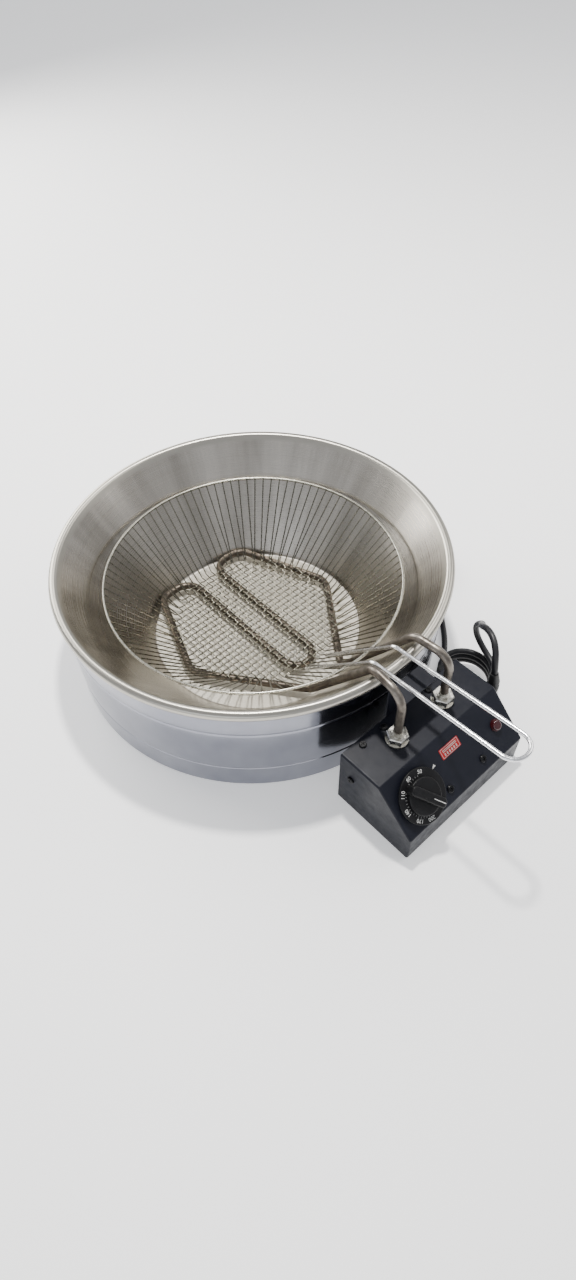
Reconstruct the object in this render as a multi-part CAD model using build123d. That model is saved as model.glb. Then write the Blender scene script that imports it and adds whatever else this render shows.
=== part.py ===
from build123d import *
import math
import os

# Electric fryer pan: a round aluminium pan with an outer skirt, a lift-out heating element on a
# control box, a wire basket with a wire handle, and a supply cord with a plug.
# Everything is drawn about the pan's axis, with +X towards the control box, and is moved at export
# so that the origin is the middle of the footprint, on the table. All sizes are in millimetres.

# --- Pan and skirt ---
RIM_RADIUS = 200.0
BEAD_RADIUS = 5.0
BEAD_HEIGHT = 118.7          # centre of the rolled rim above the table
BEAD_END_ANGLE = -50.0
FLOOR_RADIUS = 111.9
FLOOR_TOP = 8.6
PAN_SHEET = 1.5
FLOOR_BEND = 4.0
SKIRT_BOTTOM_RADIUS = 192.2
SKIRT_TOP_RADIUS = 195.2
SKIRT_TOP = 122.1
SKIRT_SHEET = 1.0
GROOVE_HEIGHTS = (29.0, 86.0)
GROOVE_HALF_WIDTH = 1.6
GROOVE_DEPTH = 1.0

# --- Heating element ---
TUBE_RADIUS = 4.0
ELEMENT_Z = 18.0
FITTING_X = 228.0
FITTING_Y = 30.5
ARCH_Z = 133.0
ARCH_Y = 26.5
TUBE_END_Z = 46.0
FITTING_RADIUS = 6.0
FITTING_BORE = 4.05
FITTING_BOTTOM = 57.0
FITTING_TOP = 86.0
NUT_FLATS = 18.0
NUT_HEIGHT = 8.0
LOCK_NUT_HEIGHT = 6.0
WASHER_RADIUS = 10.5
WASHER_HEIGHT = 1.5
THREAD_CLEARANCE = 0.05

# --- Control box ---
BOX_BACK = 205.5
BOX_CREASE = 250.9
BOX_FRONT = 292.3
BOX_TOP = 71.6
BOX_LIP = 31.9
BOX_HALF = 78.0
BOX_SHEET = 1.2
BOX_BEND = 2.0
PLATE_GAP = 0.1
TOP_SCREW_X = 212.0
TOP_SCREW_YS = (-57.0, -30.0, 30.0, 57.0)
SIDE_SCREW = (220.0, 46.0)
EARTH_SCREW = (270.0, 55.0)
SCREW_RADIUS = 1.9
SCREW_HOLE = 2.05
HEAD_RADIUS = 3.5
HEAD_HEIGHT = 2.0

# --- Lifting bracket ---
BRACKET_HALF = 20.0
BRACKET_SHEET = 1.5
BRACKET_BOTTOM = 42.0
BRACKET_TOP = 110.0
BRACKET_REACH = 223.8
BRACKET_SCREW_YS = (-10.0, 10.0)
BRACKET_SCREW_Z = 55.0

# Places on the sloping panel: (distance down the slope from the crease, Y)
KNOB_AT = (30.7, -47.0)
LAMP_AT = (29.5, 58.0)
LABEL_AT = (16.0, 3.0)
PANEL_SCREWS_AT = ((45.8, -17.5), (45.8, 28.0))

# --- Knob and thermostat ---
KNOB_RADIUS = 25.0
KNOB_SKIRT = 2.0
KNOB_GAP = 2.8               # from the panel to the knob's skirt
KNOB_HUB_RADIUS = 17.0
KNOB_HUB_HEIGHT = 4.0
KNOB_GRIP = (38.0, 9.0, 10.0)
GRIP_TURN = 35.0             # of the bar grip, from straight down the slope
SHAFT_RADIUS = 3.0
SHAFT_FIT = 0.05
THERMOSTAT_SIZE = (34.0, 32.0, 20.0)
THERMOSTAT_SCREW_Y = 12.0    # either side of the knob's axis
BUSH_RADIUS = 5.0
TERMINAL_BLOCK = (15.0, 58.0, 14.0)
BULB_RADIUS = 3.0
CAPILLARY_ROUTE = [(240, -20, 26), (231, -8, 24), (FITTING_X, 0, 29), (FITTING_X, 0, 38)]

# --- Inner wiring ---
WIRE_RADIUS = 1.2
WIRE_ROUTES = {
    "supply_wires": [
        [(244, 67.2, 51), (244, 58, 50), (247, 44, 40), (256, 30, 28), (265.3, 17.2, 22.5)],
        [(244, 67.2, 47), (241, 56, 42), (243, 40, 30), (253, 20, 20), (265.3, 5.2, 22.5)],
    ],
    "earth_wire": [[(240.6, 67.2, 49), (238, 60, 40), (240, 56, 24), (254, 55, 10), (270, 55, 6)]],
    "heater_wires": [
        [(228, 30.5, 28), (228, 30.5, 18), (242, 24, 10), (256, 10, 10), (264, -6, 18)],
        [(228, -30.5, 28), (228, -31, 16), (238, -38, 10), (250, -44, 14), (254, -46, 20)],
    ],
}

# --- Lamp ---
LENS_RADIUS = 6.0
LAMP_BODY_RADIUS = 4.9
LAMP_DEPTH = 22.0

# --- Basket ---
BASKET_RADIUS = 88.0
BASKET_RIM_RADIUS = 152.5
BASKET_RIM_Z = 91.4
RIM_WIRE = 1.5
MESH_WIRE = 0.7
MESH_PITCH = 6.8
MESH_COUNT = 25
BASKET_GAP = 0.05            # between the resting basket and the element
HANDLE_WIRE = 2.0
HANDLE_Y = -5.0
HANDLE_HALF = 13.25
HANDLE_END_HALF = 14.35
HANDLE_REACH = 333.0
HANDLE_FOOT_Z = 40.0
HANDLE_KNEE_Z = 128.0
HANDLE_KNEE_BEND = 12.0
WELD_GAP = 0.1
HANDLE_END_Z = 140.0

# --- Supply cord ---
CORD_RADIUS = 3.25
GLAND_AT = (244.1, 49.0)     # X and height on the box's end
GLAND_RADIUS = 6.0
COIL_CENTRE = (203.6, 108.2)
COIL_RADIUS = 26.0
COIL_TURNS = 3.6
TIE_THICKNESS = 0.8
TIE_ANGLE = 232.0
TIE_HALF_WIDTH = 4.0
CORD_ROUTE = [
    (240.0, 93.5, 67.5), (237.7, 93.7, 81.6), (231.7, 98.9, 91.7), (221.7, 105.8, 96.3),
    (210.2, 111.5, 94.1), (201.7, 116.9, 85.7), (197.4, 127.6, 77.1), (187.2, 133.8, 62.7),
    (186.9, 137.0, 48.3), (193.6, 138.1, 36.5), (205.2, 136.4, 29.5), (215.0, 131.6, 27.5),
]
TAIL_ROUTE = [
    (180.6, 96.0, 4.05), (170.3, 115.4, 3.6), (153.3, 138.0, 3.3), (132.4, 157.8, 3.3),
    (111.5, 175.0, 4.6), (92.5, 194.0, 9.0),
]
PLUG_ANGLE = 138.0           # way the plug's pins point, from +X
PLUG_BOOT = 14.0
PLUG_BODY = (36.0, 35.0, 17.0)
PLUG_PIN_RADIUS = 2.4
PLUG_PIN_LENGTH = 19.0
PLUG_PIN_SPACING = 9.5       # of each line pin from the middle
PLUG_EARTH_OFFSET = 3.0

SLOPE_LENGTH = math.hypot(BOX_FRONT - BOX_CREASE, BOX_TOP - BOX_LIP)
SLOPE = ((BOX_FRONT - BOX_CREASE) / SLOPE_LENGTH, (BOX_TOP - BOX_LIP) / SLOPE_LENGTH)
DOWN_SLOPE = (SLOPE[0], 0, -SLOPE[1])
PANEL = Plane(origin=(BOX_CREASE, 0, BOX_TOP), x_dir=DOWN_SLOPE, z_dir=(SLOPE[1], 0, SLOPE[0]))
PANEL_AXIS = Axis((0, 0, 0), tuple(PANEL.z_dir))
TO_ORIGIN = Pos((RIM_RADIUS - HANDLE_REACH) / 2, 0, 0)


def save(node, *solids):
    """Write one sub-part, moved to the footprint's middle, as one or several separate solids."""
    moved = [TO_ORIGIN * solid for solid in solids]
    shape = moved[0] if len(moved) == 1 else Compound(moved)
    export_step(shape, f"parts/{node}.step")


def disc(plane, radius, low, high):
    """A round bar on a plane's normal, from one height to another."""
    return plane * Pos(0, 0, low) * extrude(Circle(radius), high - low)


def upright(x, y):
    return Plane(origin=(x, y, 0))


def panel_at(place):
    """The panel's plane, moved to a place on the slope."""
    return PANEL * Pos(place[0], place[1], 0)


def hexagon(plane, low, high, bore):
    prism = extrude(RegularPolygon(NUT_FLATS / 2, 6, major_radius=False, rotation=30), high - low)
    nut = Pos(0, 0, low) * chamfer(prism.faces().sort_by(Axis.Z)[-1].edges(), 0.8)
    return plane * nut - disc(plane, bore, low - 1, high + 1)


def block(x, y, z):
    """A box from three (low, high) pairs."""
    size = [pair[1] - pair[0] for pair in (x, y, z)]
    return Pos(x[0], y[0], z[0]) * Box(*size, align=(Align.MIN, Align.MIN, Align.MIN))


def bar(start, end, radius):
    """A straight round wire between two points."""
    way = Vector(*end) - Vector(*start)
    return disc(Plane(origin=start, z_dir=way), radius, 0, way.length)


def bends(points):
    """The largest even fillet at each inner point of a route: 0.45 of the shorter run."""
    points = [Vector(*point) for point in points]
    radii = []
    for before, here, after in zip(points, points[1:], points[2:]):
        turn = math.radians((here - before).get_angle(after - here))
        run = min((here - before).length, (after - here).length)
        radii.append(0.45 * run / math.tan(turn / 2))
    return radii


def tube(points, radii, radius, name=None):
    """A round tube along straight runs joined by tangent arcs."""
    path = Wire(FilletPolyline(*points, radius=radii).edges())
    start = Plane(origin=path @ 0, z_dir=path % 0)
    solid = sweep(start * Circle(radius), path=path)
    if name:
        print(name, "radii", [round(value, 1) for value in radii], "length", round(path.length, 1),
              "volume ratio", round(solid.volume / (math.pi * radius**2 * path.length), 4))
    return solid


# --- Pan and skirt ---

def make_pan():
    """One spun sheet: flat floor, straight conical wall and a rim rolled outwards."""
    centre = (RIM_RADIUS - BEAD_RADIUS, BEAD_HEIGHT)
    reach = math.hypot(centre[0] - FLOOR_RADIUS, centre[1] - FLOOR_TOP)
    slope = math.atan2(centre[1] - FLOOR_TOP, centre[0] - FLOOR_RADIUS) + math.asin(BEAD_RADIUS / reach)
    start = math.degrees(slope) + 90
    inner_corner = (FLOOR_RADIUS, FLOOR_TOP)
    outer_corner = (FLOOR_RADIUS + PAN_SHEET * math.tan(slope / 2), FLOOR_TOP - PAN_SHEET)
    top = CenterArc(centre, BEAD_RADIUS, start, BEAD_END_ANGLE - start)
    under = CenterArc(centre, BEAD_RADIUS - PAN_SHEET, start, BEAD_END_ANGLE - start)
    inside = Polyline((0, FLOOR_TOP - PAN_SHEET), (0, FLOOR_TOP), inner_corner, top @ 0)
    outside = Polyline((0, FLOOR_TOP - PAN_SHEET), outer_corner, under @ 0)
    end = Line(top @ 1, under @ 1)
    profile = make_face(Curve() + [inside, top, end, under, outside])
    for corner, radius in ((inner_corner, FLOOR_BEND), (outer_corner, FLOOR_BEND + PAN_SHEET)):
        profile = fillet(profile.vertices().sort_by_distance(Vector(*corner))[0], radius)
    return revolve(Plane.XZ * profile, Axis.Z)


def skirt_side(inset):
    """The skirt's upright line from bottom to top, with a pressed groove at each groove height."""
    def radius(z):
        return SKIRT_BOTTOM_RADIUS + (SKIRT_TOP_RADIUS - SKIRT_BOTTOM_RADIUS) * z / SKIRT_TOP - inset

    lines = []
    last = (radius(0), 0)
    for z in GROOVE_HEIGHTS:
        low = (radius(z - GROOVE_HALF_WIDTH), z - GROOVE_HALF_WIDTH)
        high = (radius(z + GROOVE_HALF_WIDTH), z + GROOVE_HALF_WIDTH)
        lines.append(Line(last, low))
        lines.append(ThreePointArc(low, (radius(z) - GROOVE_DEPTH, z), high))
        last = high
    lines.append(Line(last, (radius(SKIRT_TOP), SKIRT_TOP)))
    return lines


def make_skirt():
    """The outer casing that stands on the table and holds the pan by its rolled rim."""
    outer = skirt_side(0)
    inner = skirt_side(SKIRT_SHEET)
    ends = [Line(outer[0] @ 0, inner[0] @ 0), Line(outer[-1] @ 1, inner[-1] @ 1)]
    profile = make_face(Curve() + outer + inner + ends)
    return revolve(Plane.XZ * profile, Axis.Z)


# --- Heating element and its fittings ---

def element_half(side):
    """Corner points and bend radii of one half, from the box to the hairpin."""
    wall = (108.4, side * 22.0, ELEMENT_Z)
    points = [
        (FITTING_X, side * FITTING_Y, TUBE_END_Z),
        (FITTING_X, side * FITTING_Y, ARCH_Z),
        (189.2, side * ARCH_Y, ARCH_Z),
        wall,
        (8.0, side * 97.0, ELEMENT_Z),
        (-98.0, side * 57.0, ELEMENT_Z),
        (-98.0, side * 17.0, ELEMENT_Z),
        (80.0, side * 17.0, ELEMENT_Z),
    ]
    radii = [17.0, 15.0, 16.0, 22.0, 18.0, 19.0, 16.5]
    return points, radii


def make_element():
    """One sheathed tube, bent into two side loops and a middle hairpin."""
    left, left_radii = element_half(-1)
    right, right_radii = element_half(1)
    return tube(left + right[::-1], left_radii + right_radii[::-1], TUBE_RADIUS, "element")


def fitting_places():
    return [upright(FITTING_X, side * FITTING_Y) for side in (-1, 1)]


def make_fitting(place):
    """A threaded bush brazed on the tube, with a narrower collar at its top."""
    body = disc(place, FITTING_RADIUS, FITTING_BOTTOM, FITTING_TOP - 3)
    collar = disc(place, FITTING_RADIUS - 1.2, FITTING_TOP - 3, FITTING_TOP)
    return body + collar - disc(place, FITTING_BORE, FITTING_BOTTOM - 1, FITTING_TOP + 1)


def make_washer(place):
    hole = FITTING_RADIUS + THREAD_CLEARANCE
    ring = disc(place, WASHER_RADIUS, BOX_TOP, BOX_TOP + WASHER_HEIGHT)
    return ring - disc(place, hole, BOX_TOP - 1, BOX_TOP + WASHER_HEIGHT + 1)


def make_outer_nut(place):
    low = BOX_TOP + WASHER_HEIGHT
    return hexagon(place, low, low + NUT_HEIGHT, FITTING_RADIUS + THREAD_CLEARANCE)


def make_lock_nut(place):
    high = BOX_TOP - BOX_SHEET
    return hexagon(place, high - LOCK_NUT_HEIGHT, high, FITTING_RADIUS + THREAD_CLEARANCE)


def make_terminal(place):
    """A cold pin at the tube's end with a flat push-on tab."""
    pin = disc(place, 1.5, TUBE_END_Z - 12, TUBE_END_Z)
    tab = place * Pos(0, 0, TUBE_END_Z - 12) * Box(6.3, 0.8, 10)
    return pin + tab


# --- Control box ---

def box_section(inset, back, bottom):
    """The box's side outline, inset by a sheet thickness along the top, slope and front."""
    lean = (1 - SLOPE[0]) / SLOPE[1]
    crease = (BOX_CREASE - inset * lean, BOX_TOP - inset)
    lip = (BOX_FRONT - inset, BOX_LIP - inset * (1 - SLOPE[1]) / SLOPE[0])
    front = (BOX_FRONT - inset, bottom)
    return Polyline((back, bottom), (back, BOX_TOP - inset), crease, lip, front, close=True)


def box_prism(inset, back, bottom):
    outline = Plane.XZ * make_face(box_section(inset, back, bottom).edges())
    half = BOX_HALF - inset
    return Pos(0, half, 0) * extrude(outline, 2 * half)


def screw_hole(plane):
    return disc(plane, SCREW_HOLE, -12, 12)


def side_plane(side):
    """On the box's end at the side screw, with its normal pointing out."""
    return Plane(origin=(SIDE_SCREW[0], side * BOX_HALF, SIDE_SCREW[1]), z_dir=(0, side, 0))


def gland_plane():
    return Plane(origin=(GLAND_AT[0], BOX_HALF, GLAND_AT[1]), x_dir=(1, 0, 0), z_dir=(0, 1, 0))


def top_screw_planes():
    return [Plane(origin=(TOP_SCREW_X, y, BOX_TOP)) for y in TOP_SCREW_YS]


def thermostat_screw_planes():
    return [panel_at((KNOB_AT[0], KNOB_AT[1] + side * THERMOSTAT_SCREW_Y)) for side in (-1, 1)]


def make_cover():
    """Folded sheet: flat top, sloping panel, front lip and both ends, open below and behind."""
    outer = box_prism(0, BOX_BACK, 0)
    folded = outer.edges().filter_by(lambda edge: edge.center().Z > 1 and edge.center().X > BOX_BACK + 1)
    shell = fillet(folded, BOX_BEND) - box_prism(BOX_SHEET, BOX_BACK - 5, -5)
    for place in fitting_places():
        shell -= disc(place, FITTING_RADIUS + 0.2, 60, 80)
    for plane in top_screw_planes() + [side_plane(-1), side_plane(1)]:
        shell -= screw_hole(plane)
    for place in PANEL_SCREWS_AT:
        shell -= screw_hole(panel_at(place))
    shell -= disc(panel_at(KNOB_AT), BUSH_RADIUS + 0.1, -5, 5)
    for plane in thermostat_screw_planes():
        shell -= screw_hole(plane)
    shell -= disc(panel_at(LAMP_AT), LAMP_BODY_RADIUS + 0.1, -5, 5)
    shell -= disc(gland_plane(), GLAND_RADIUS + 0.1, -5, 5)
    return shell


def make_base():
    """Bottom plate with a back wall and folded flanges that the cover's screws go into."""
    in_sheet = BOX_SHEET + PLATE_GAP
    half = BOX_HALF - in_sheet
    top = BOX_TOP - in_sheet
    front = BOX_FRONT - in_sheet
    back_in = BOX_BACK + BOX_SHEET
    base = block((BOX_BACK, front), (-half, half), (0, BOX_SHEET))
    base += block((BOX_BACK, back_in), (-half, half), (0, top))
    base += block((BOX_BACK, back_in + 9.6), (-half, half), (top - BOX_SHEET, top))
    for low, high in ((-half, -half + BOX_SHEET), (half - BOX_SHEET, half)):
        base += block((BOX_BACK, BOX_BACK + 21), (low, high), (34, 58))
    base += block((front - BOX_SHEET, front), (-half, half), (0, 9))
    for plane in top_screw_planes() + [side_plane(-1), side_plane(1)]:
        base -= screw_hole(plane)
    for plane in bracket_screw_planes():
        base -= screw_hole(plane)
    base -= disc(upright(*EARTH_SCREW), SCREW_HOLE, -1, 5)
    return base


def make_screw(plane, length):
    """A pan-head screw with a cross recess, its head on the plane."""
    head = chamfer(extrude(Circle(HEAD_RADIUS), HEAD_HEIGHT).faces().sort_by(Axis.Z)[-1].edges(), 0.7)
    slot = Pos(0, 0, HEAD_HEIGHT) * (Box(3.6, 0.8, 1.8) + Box(0.8, 3.6, 1.8))
    shank = Pos(0, 0, -length) * extrude(Circle(SCREW_RADIUS), length)
    return plane * (head + shank - slot)


def bracket_screw_planes():
    """On the bracket's outer face, with their normals towards the pan."""
    x = BOX_BACK - PLATE_GAP - BRACKET_SHEET
    return [Plane(origin=(x, y, BRACKET_SCREW_Z), z_dir=(-1, 0, 0)) for y in BRACKET_SCREW_YS]


def make_bracket():
    """An angle on the box's back wall whose flat top, between the two tubes, is a lifting grip."""
    face = BOX_BACK - PLATE_GAP
    back = face - BRACKET_SHEET
    sides = (-BRACKET_HALF, BRACKET_HALF)
    leg = block((back, face), sides, (BRACKET_BOTTOM, BRACKET_TOP))
    flange = block((back, BRACKET_REACH), sides, (BRACKET_TOP - BRACKET_SHEET, BRACKET_TOP))
    bent = leg + flange
    for plane in bracket_screw_planes():
        bent -= screw_hole(plane)
    return bent


# --- Thermostat, knob and lamp ---

def make_thermostat():
    """Switch housing under the panel, with a bush that fills the panel's hole."""
    long, wide, deep = THERMOSTAT_SIZE
    place = panel_at(KNOB_AT)
    under = -BOX_SHEET - PLATE_GAP
    housing = place * Pos(0, 0, under - deep / 2) * Box(long, wide, deep)
    bush = disc(place, BUSH_RADIUS, under - 1, 0.8)
    bore = disc(place, SHAFT_RADIUS + SHAFT_FIT, under - 12, 3)
    switch = housing + bush - bore
    for plane in thermostat_screw_planes():
        switch -= disc(plane, SCREW_RADIUS + SHAFT_FIT, -9, 0)
    return switch


def make_knob():
    """Dial skirt, round hub and a bar grip, bored for the shaft."""
    place = panel_at(KNOB_AT)
    skirt_top = KNOB_GAP + KNOB_SKIRT
    hub_top = skirt_top + KNOB_HUB_HEIGHT
    skirt = disc(place, KNOB_RADIUS, KNOB_GAP, skirt_top)
    skirt = fillet(skirt.faces().sort_by(PANEL_AXIS)[-1].edges(), 0.8)
    hub = disc(place, KNOB_HUB_RADIUS, skirt_top, hub_top)
    hub = fillet(hub.faces().sort_by(PANEL_AXIS)[-1].edges(), 1.2)
    long, wide, high = KNOB_GRIP
    grip = extrude(RectangleRounded(long, wide, 3.5), high)
    grip = fillet(grip.faces().sort_by(Axis.Z)[-1].edges(), 1.5)
    grip = place * Pos(0, 0, skirt_top) * Rot(0, 0, GRIP_TURN) * grip
    return skirt + hub + grip - disc(place, SHAFT_RADIUS, KNOB_GAP - 1, KNOB_GAP + 10)


def make_shaft():
    return disc(panel_at(KNOB_AT), SHAFT_RADIUS, -11.0, KNOB_GAP + 10)


def make_lens():
    """Flat-based dome of clear red plastic."""
    place = panel_at(LAMP_AT)
    rim = disc(place, LENS_RADIUS, 0, 1.6)
    dome = disc(place, LENS_RADIUS - 1, 1.6, 4.2)
    dome = fillet(dome.faces().sort_by(PANEL_AXIS)[-1].edges(), 1.8)
    return rim + dome


def make_lamp_body():
    return disc(panel_at(LAMP_AT), LAMP_BODY_RADIUS, -LAMP_DEPTH, 0)


def make_lamp_nut():
    place = panel_at(LAMP_AT)
    ring = disc(place, LAMP_BODY_RADIUS + 2.4, -BOX_SHEET - 3, -BOX_SHEET)
    return ring - disc(place, LAMP_BODY_RADIUS + SHAFT_FIT, -10, 1)


def make_label():
    """A thin printed plate stuck on the slope."""
    return panel_at(LABEL_AT) * extrude(RectangleRounded(10, 24.5, 0.8), 0.3)


def terminal_middle():
    """Middle of the block on the panel, halfway between its two screws."""
    return PANEL_SCREWS_AT[0][0], sum(place[1] for place in PANEL_SCREWS_AT) / 2


def make_terminal_block():
    """Ceramic block held under the panel by the two panel screws."""
    deep, wide, thick = TERMINAL_BLOCK
    middle = -BOX_SHEET - PLATE_GAP - thick / 2
    body = panel_at(terminal_middle()) * Pos(0, 0, middle) * Box(deep, wide, thick)
    for at in PANEL_SCREWS_AT:
        body -= disc(panel_at(at), SCREW_RADIUS + SHAFT_FIT, -12, 0)
    return body


def make_terminal_screws():
    """Three clamp screws on the block's inner face."""
    down, across = terminal_middle()
    low = -BOX_SHEET - PLATE_GAP - TERMINAL_BLOCK[2]
    return [disc(panel_at((down, across + y)), 2.6, low - 2.5, low) for y in (-12, 0, 12)]


def make_bulb():
    """The thermostat's sensing bulb, upright between the element's cold ends."""
    return disc(upright(FITTING_X, 0), BULB_RADIUS, 38, 66)


def make_bulb_clip():
    """A ring round the bulb with a tail on the box's back wall."""
    place = upright(FITTING_X, 0)
    inner = BULB_RADIUS + SHAFT_FIT
    tail = block((BOX_BACK + BOX_SHEET, FITTING_X), (-0.6, 0.6), (46, 54))
    foot = block((BOX_BACK + BOX_SHEET, BOX_BACK + 2 * BOX_SHEET), (-5, 5), (46, 54))
    return disc(place, inner + 1.2, 46, 54) + tail + foot - disc(place, inner, 45, 55)


def make_capillary():
    """Thin tube from the thermostat's housing to the bulb."""
    under = -BOX_SHEET - PLATE_GAP - THERMOSTAT_SIZE[2]
    start = PANEL.from_local_coords(Vector(KNOB_AT[0] - 8, KNOB_AT[1] + 12, under))
    out = start - PANEL.z_dir * 9
    points = [tuple(start), tuple(out)] + CAPILLARY_ROUTE
    return tube(points, [value * 0.8 for value in bends(points)], 0.8)


# --- Inner wiring ---

def wire_group(node):
    return [tube(points, bends(points), WIRE_RADIUS) for points in WIRE_ROUTES[node]]


# --- Basket ---

def mesh_lines():
    """Y places of one family of base wires and half their lengths."""
    middle = (MESH_COUNT - 1) / 2
    places = [(number - middle) * MESH_PITCH for number in range(MESH_COUNT)]
    return [(y, math.sqrt(BASKET_RADIUS**2 - y**2)) for y in places]


def layer_heights():
    """Centre heights of the lower family, along X, and the upper family, along Y."""
    lower = ELEMENT_Z + TUBE_RADIUS + BASKET_GAP + MESH_WIRE
    return lower, lower + 2 * MESH_WIRE


def make_base_wires():
    lower, upper = layer_heights()
    along_x = [bar((-half, y, lower), (half, y, lower), MESH_WIRE) for y, half in mesh_lines()]
    along_y = [bar((x, -half, upper), (x, half, upper), MESH_WIRE) for x, half in mesh_lines()]
    return along_x, along_y


def side_slope():
    """Angle of the basket's side above the table."""
    return math.atan2(BASKET_RIM_Z - layer_heights()[0], BASKET_RIM_RADIUS - BASKET_RADIUS)


def side_top():
    """Radius and height where the side wires end, tangent to the inside of the rim wire."""
    apart = RIM_WIRE + MESH_WIRE
    radius = BASKET_RIM_RADIUS - apart * math.sin(side_slope())
    return radius, BASKET_RIM_Z + apart * math.cos(side_slope())


def inside_side(y, z):
    """X of the handle's wire where it lies on the inside of the side wires."""
    apart = (MESH_WIRE + HANDLE_WIRE + WELD_GAP) / math.sin(side_slope())
    radius = BASKET_RADIUS + (z - layer_heights()[0]) / math.tan(side_slope()) - apart
    return math.sqrt(radius**2 - y**2)


def make_side_wires():
    """Each base wire's two ends go up the side and end evenly spaced round the rim."""
    lower, upper = layer_heights()
    ends = []
    for y, half in mesh_lines():
        for sign in (-1, 1):
            ends.append((math.atan2(y, sign * half), lower))
            ends.append((math.atan2(sign * half, y), upper))
    ends.sort()
    top_radius, top_z = side_top()
    wires = []
    for number, (angle, height) in enumerate(ends):
        rim = -math.pi + (number + 0.5) * 2 * math.pi / len(ends)
        foot = (BASKET_RADIUS * math.cos(angle), BASKET_RADIUS * math.sin(angle), height)
        head = (top_radius * math.cos(rim), top_radius * math.sin(rim), top_z)
        wires.append(bar(foot, head, MESH_WIRE))
    return wires


def make_rim():
    return Pos(0, 0, BASKET_RIM_Z) * Torus(BASKET_RIM_RADIUS, RIM_WIRE)


def handle_leg(side):
    """Corner points of one leg, from its foot inside the basket to the round end."""
    y = HANDLE_Y + side * HANDLE_HALF
    end = (HANDLE_REACH - HANDLE_WIRE, HANDLE_Y + side * HANDLE_END_HALF, HANDLE_END_Z)
    return [(inside_side(y, z), y, z) for z in (HANDLE_FOOT_Z, HANDLE_KNEE_Z)] + [end]


def make_handle():
    """One wire: up the basket's side, over the pan's rim, round the end and back."""
    end_bend = HANDLE_END_HALF - 0.6
    radii = [HANDLE_KNEE_BEND, end_bend, end_bend, HANDLE_KNEE_BEND]
    return tube(handle_leg(-1) + handle_leg(1)[::-1], radii, HANDLE_WIRE, "handle")


# --- Supply cord, coil and plug ---

def make_gland():
    """Round flange outside the box's end with a threaded neck through it."""
    plane = gland_plane()
    return disc(plane, 9.0, 0, 2.5) + disc(plane, GLAND_RADIUS, -9, 0) - disc(plane, 4.2, -10, 3)


def make_gland_nut():
    plane = gland_plane()
    ring = disc(plane, 9.0, -BOX_SHEET - 4, -BOX_SHEET)
    return ring - disc(plane, GLAND_RADIUS + SHAFT_FIT, -12, 1)


def make_strain_relief():
    """Moulded boot that turns the cord upwards, tapered towards its tip."""
    plane = gland_plane()
    out = BOX_HALF + 2.5
    tip = Vector(*CORD_ROUTE[0])
    way = (Vector(*CORD_ROUTE[1]) - tip).normalized()
    shoulder = tip - way * 11
    corner = tip - way * ((tip.Z - GLAND_AT[1]) / way.Z)
    start = (GLAND_AT[0], out, GLAND_AT[1])
    elbow = tube([start, (GLAND_AT[0], corner.Y, GLAND_AT[1]), tuple(shoulder)], [6.0], 5.4)
    cone = Solid.make_cone(5.9, 4.1, 11, Plane(origin=shoulder, z_dir=way))
    tail = disc(plane, 4.15, -10, 4)
    return elbow + cone + tail


def coil_span():
    """Lowest and highest point of the coil, whose turns lie one on another."""
    return TIE_THICKNESS, TIE_THICKNESS + 2 * CORD_RADIUS * (COIL_TURNS + 1)


def make_coil():
    low, high = coil_span()
    place = upright(*COIL_CENTRE)
    ring = disc(place, COIL_RADIUS + CORD_RADIUS, low, high)
    return ring - disc(place, COIL_RADIUS - CORD_RADIUS, low - 1, high + 1)


def make_tie():
    """A strap round the coil's turns."""
    high = coil_span()[1]
    inner = COIL_RADIUS - CORD_RADIUS
    outer = COIL_RADIUS + CORD_RADIUS + 0.2
    wide = (-TIE_HALF_WIDTH, TIE_HALF_WIDTH)
    wrap = block((inner - TIE_THICKNESS - 0.4, outer + TIE_THICKNESS), wide, (0, high + TIE_THICKNESS))
    hole = block((inner - 0.4, outer), (-5, 5), (TIE_THICKNESS, high))
    return Pos(COIL_CENTRE[0], COIL_CENTRE[1], 0) * Rot(0, 0, TIE_ANGLE) * (wrap - hole)


def plug_plane():
    """At the back of the plug's boot, with its normal along the pins."""
    turn = math.radians(PLUG_ANGLE)
    return Plane(origin=TAIL_ROUTE[-1], x_dir=(0, 0, 1), z_dir=(math.cos(turn), math.sin(turn), 0))


def make_plug():
    """Flat six-sided plug body with a tapered boot."""
    long, wide, thick = PLUG_BODY
    plane = plug_plane()
    slab = RectangleRounded(thick, wide, 7)
    waist = RectangleRounded(thick - 3, wide - 12, 6)
    front = plane * Pos(0, 0, PLUG_BOOT + 12) * extrude(slab, long - 12)
    middle = plane * loft([Pos(0, 0, PLUG_BOOT) * waist, Pos(0, 0, PLUG_BOOT + 12) * slab])
    boot = Solid.make_cone(4.2, 6.0, PLUG_BOOT, plane)
    return front + middle + boot


def make_pins():
    """Two line pins and the earth pin, offset from their line."""
    plane = plug_plane()
    start = PLUG_BOOT + PLUG_BODY[0]
    places = ((0, -PLUG_PIN_SPACING), (0, PLUG_PIN_SPACING), (PLUG_EARTH_OFFSET, 0))
    pins = []
    for up, across in places:
        pin = extrude(Circle(PLUG_PIN_RADIUS), PLUG_PIN_LENGTH)
        pin = fillet(pin.faces().sort_by(Axis.Z)[-1].edges(), 1.0)
        pins.append(plane * Pos(up, across, start) * pin)
    return pins


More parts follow.
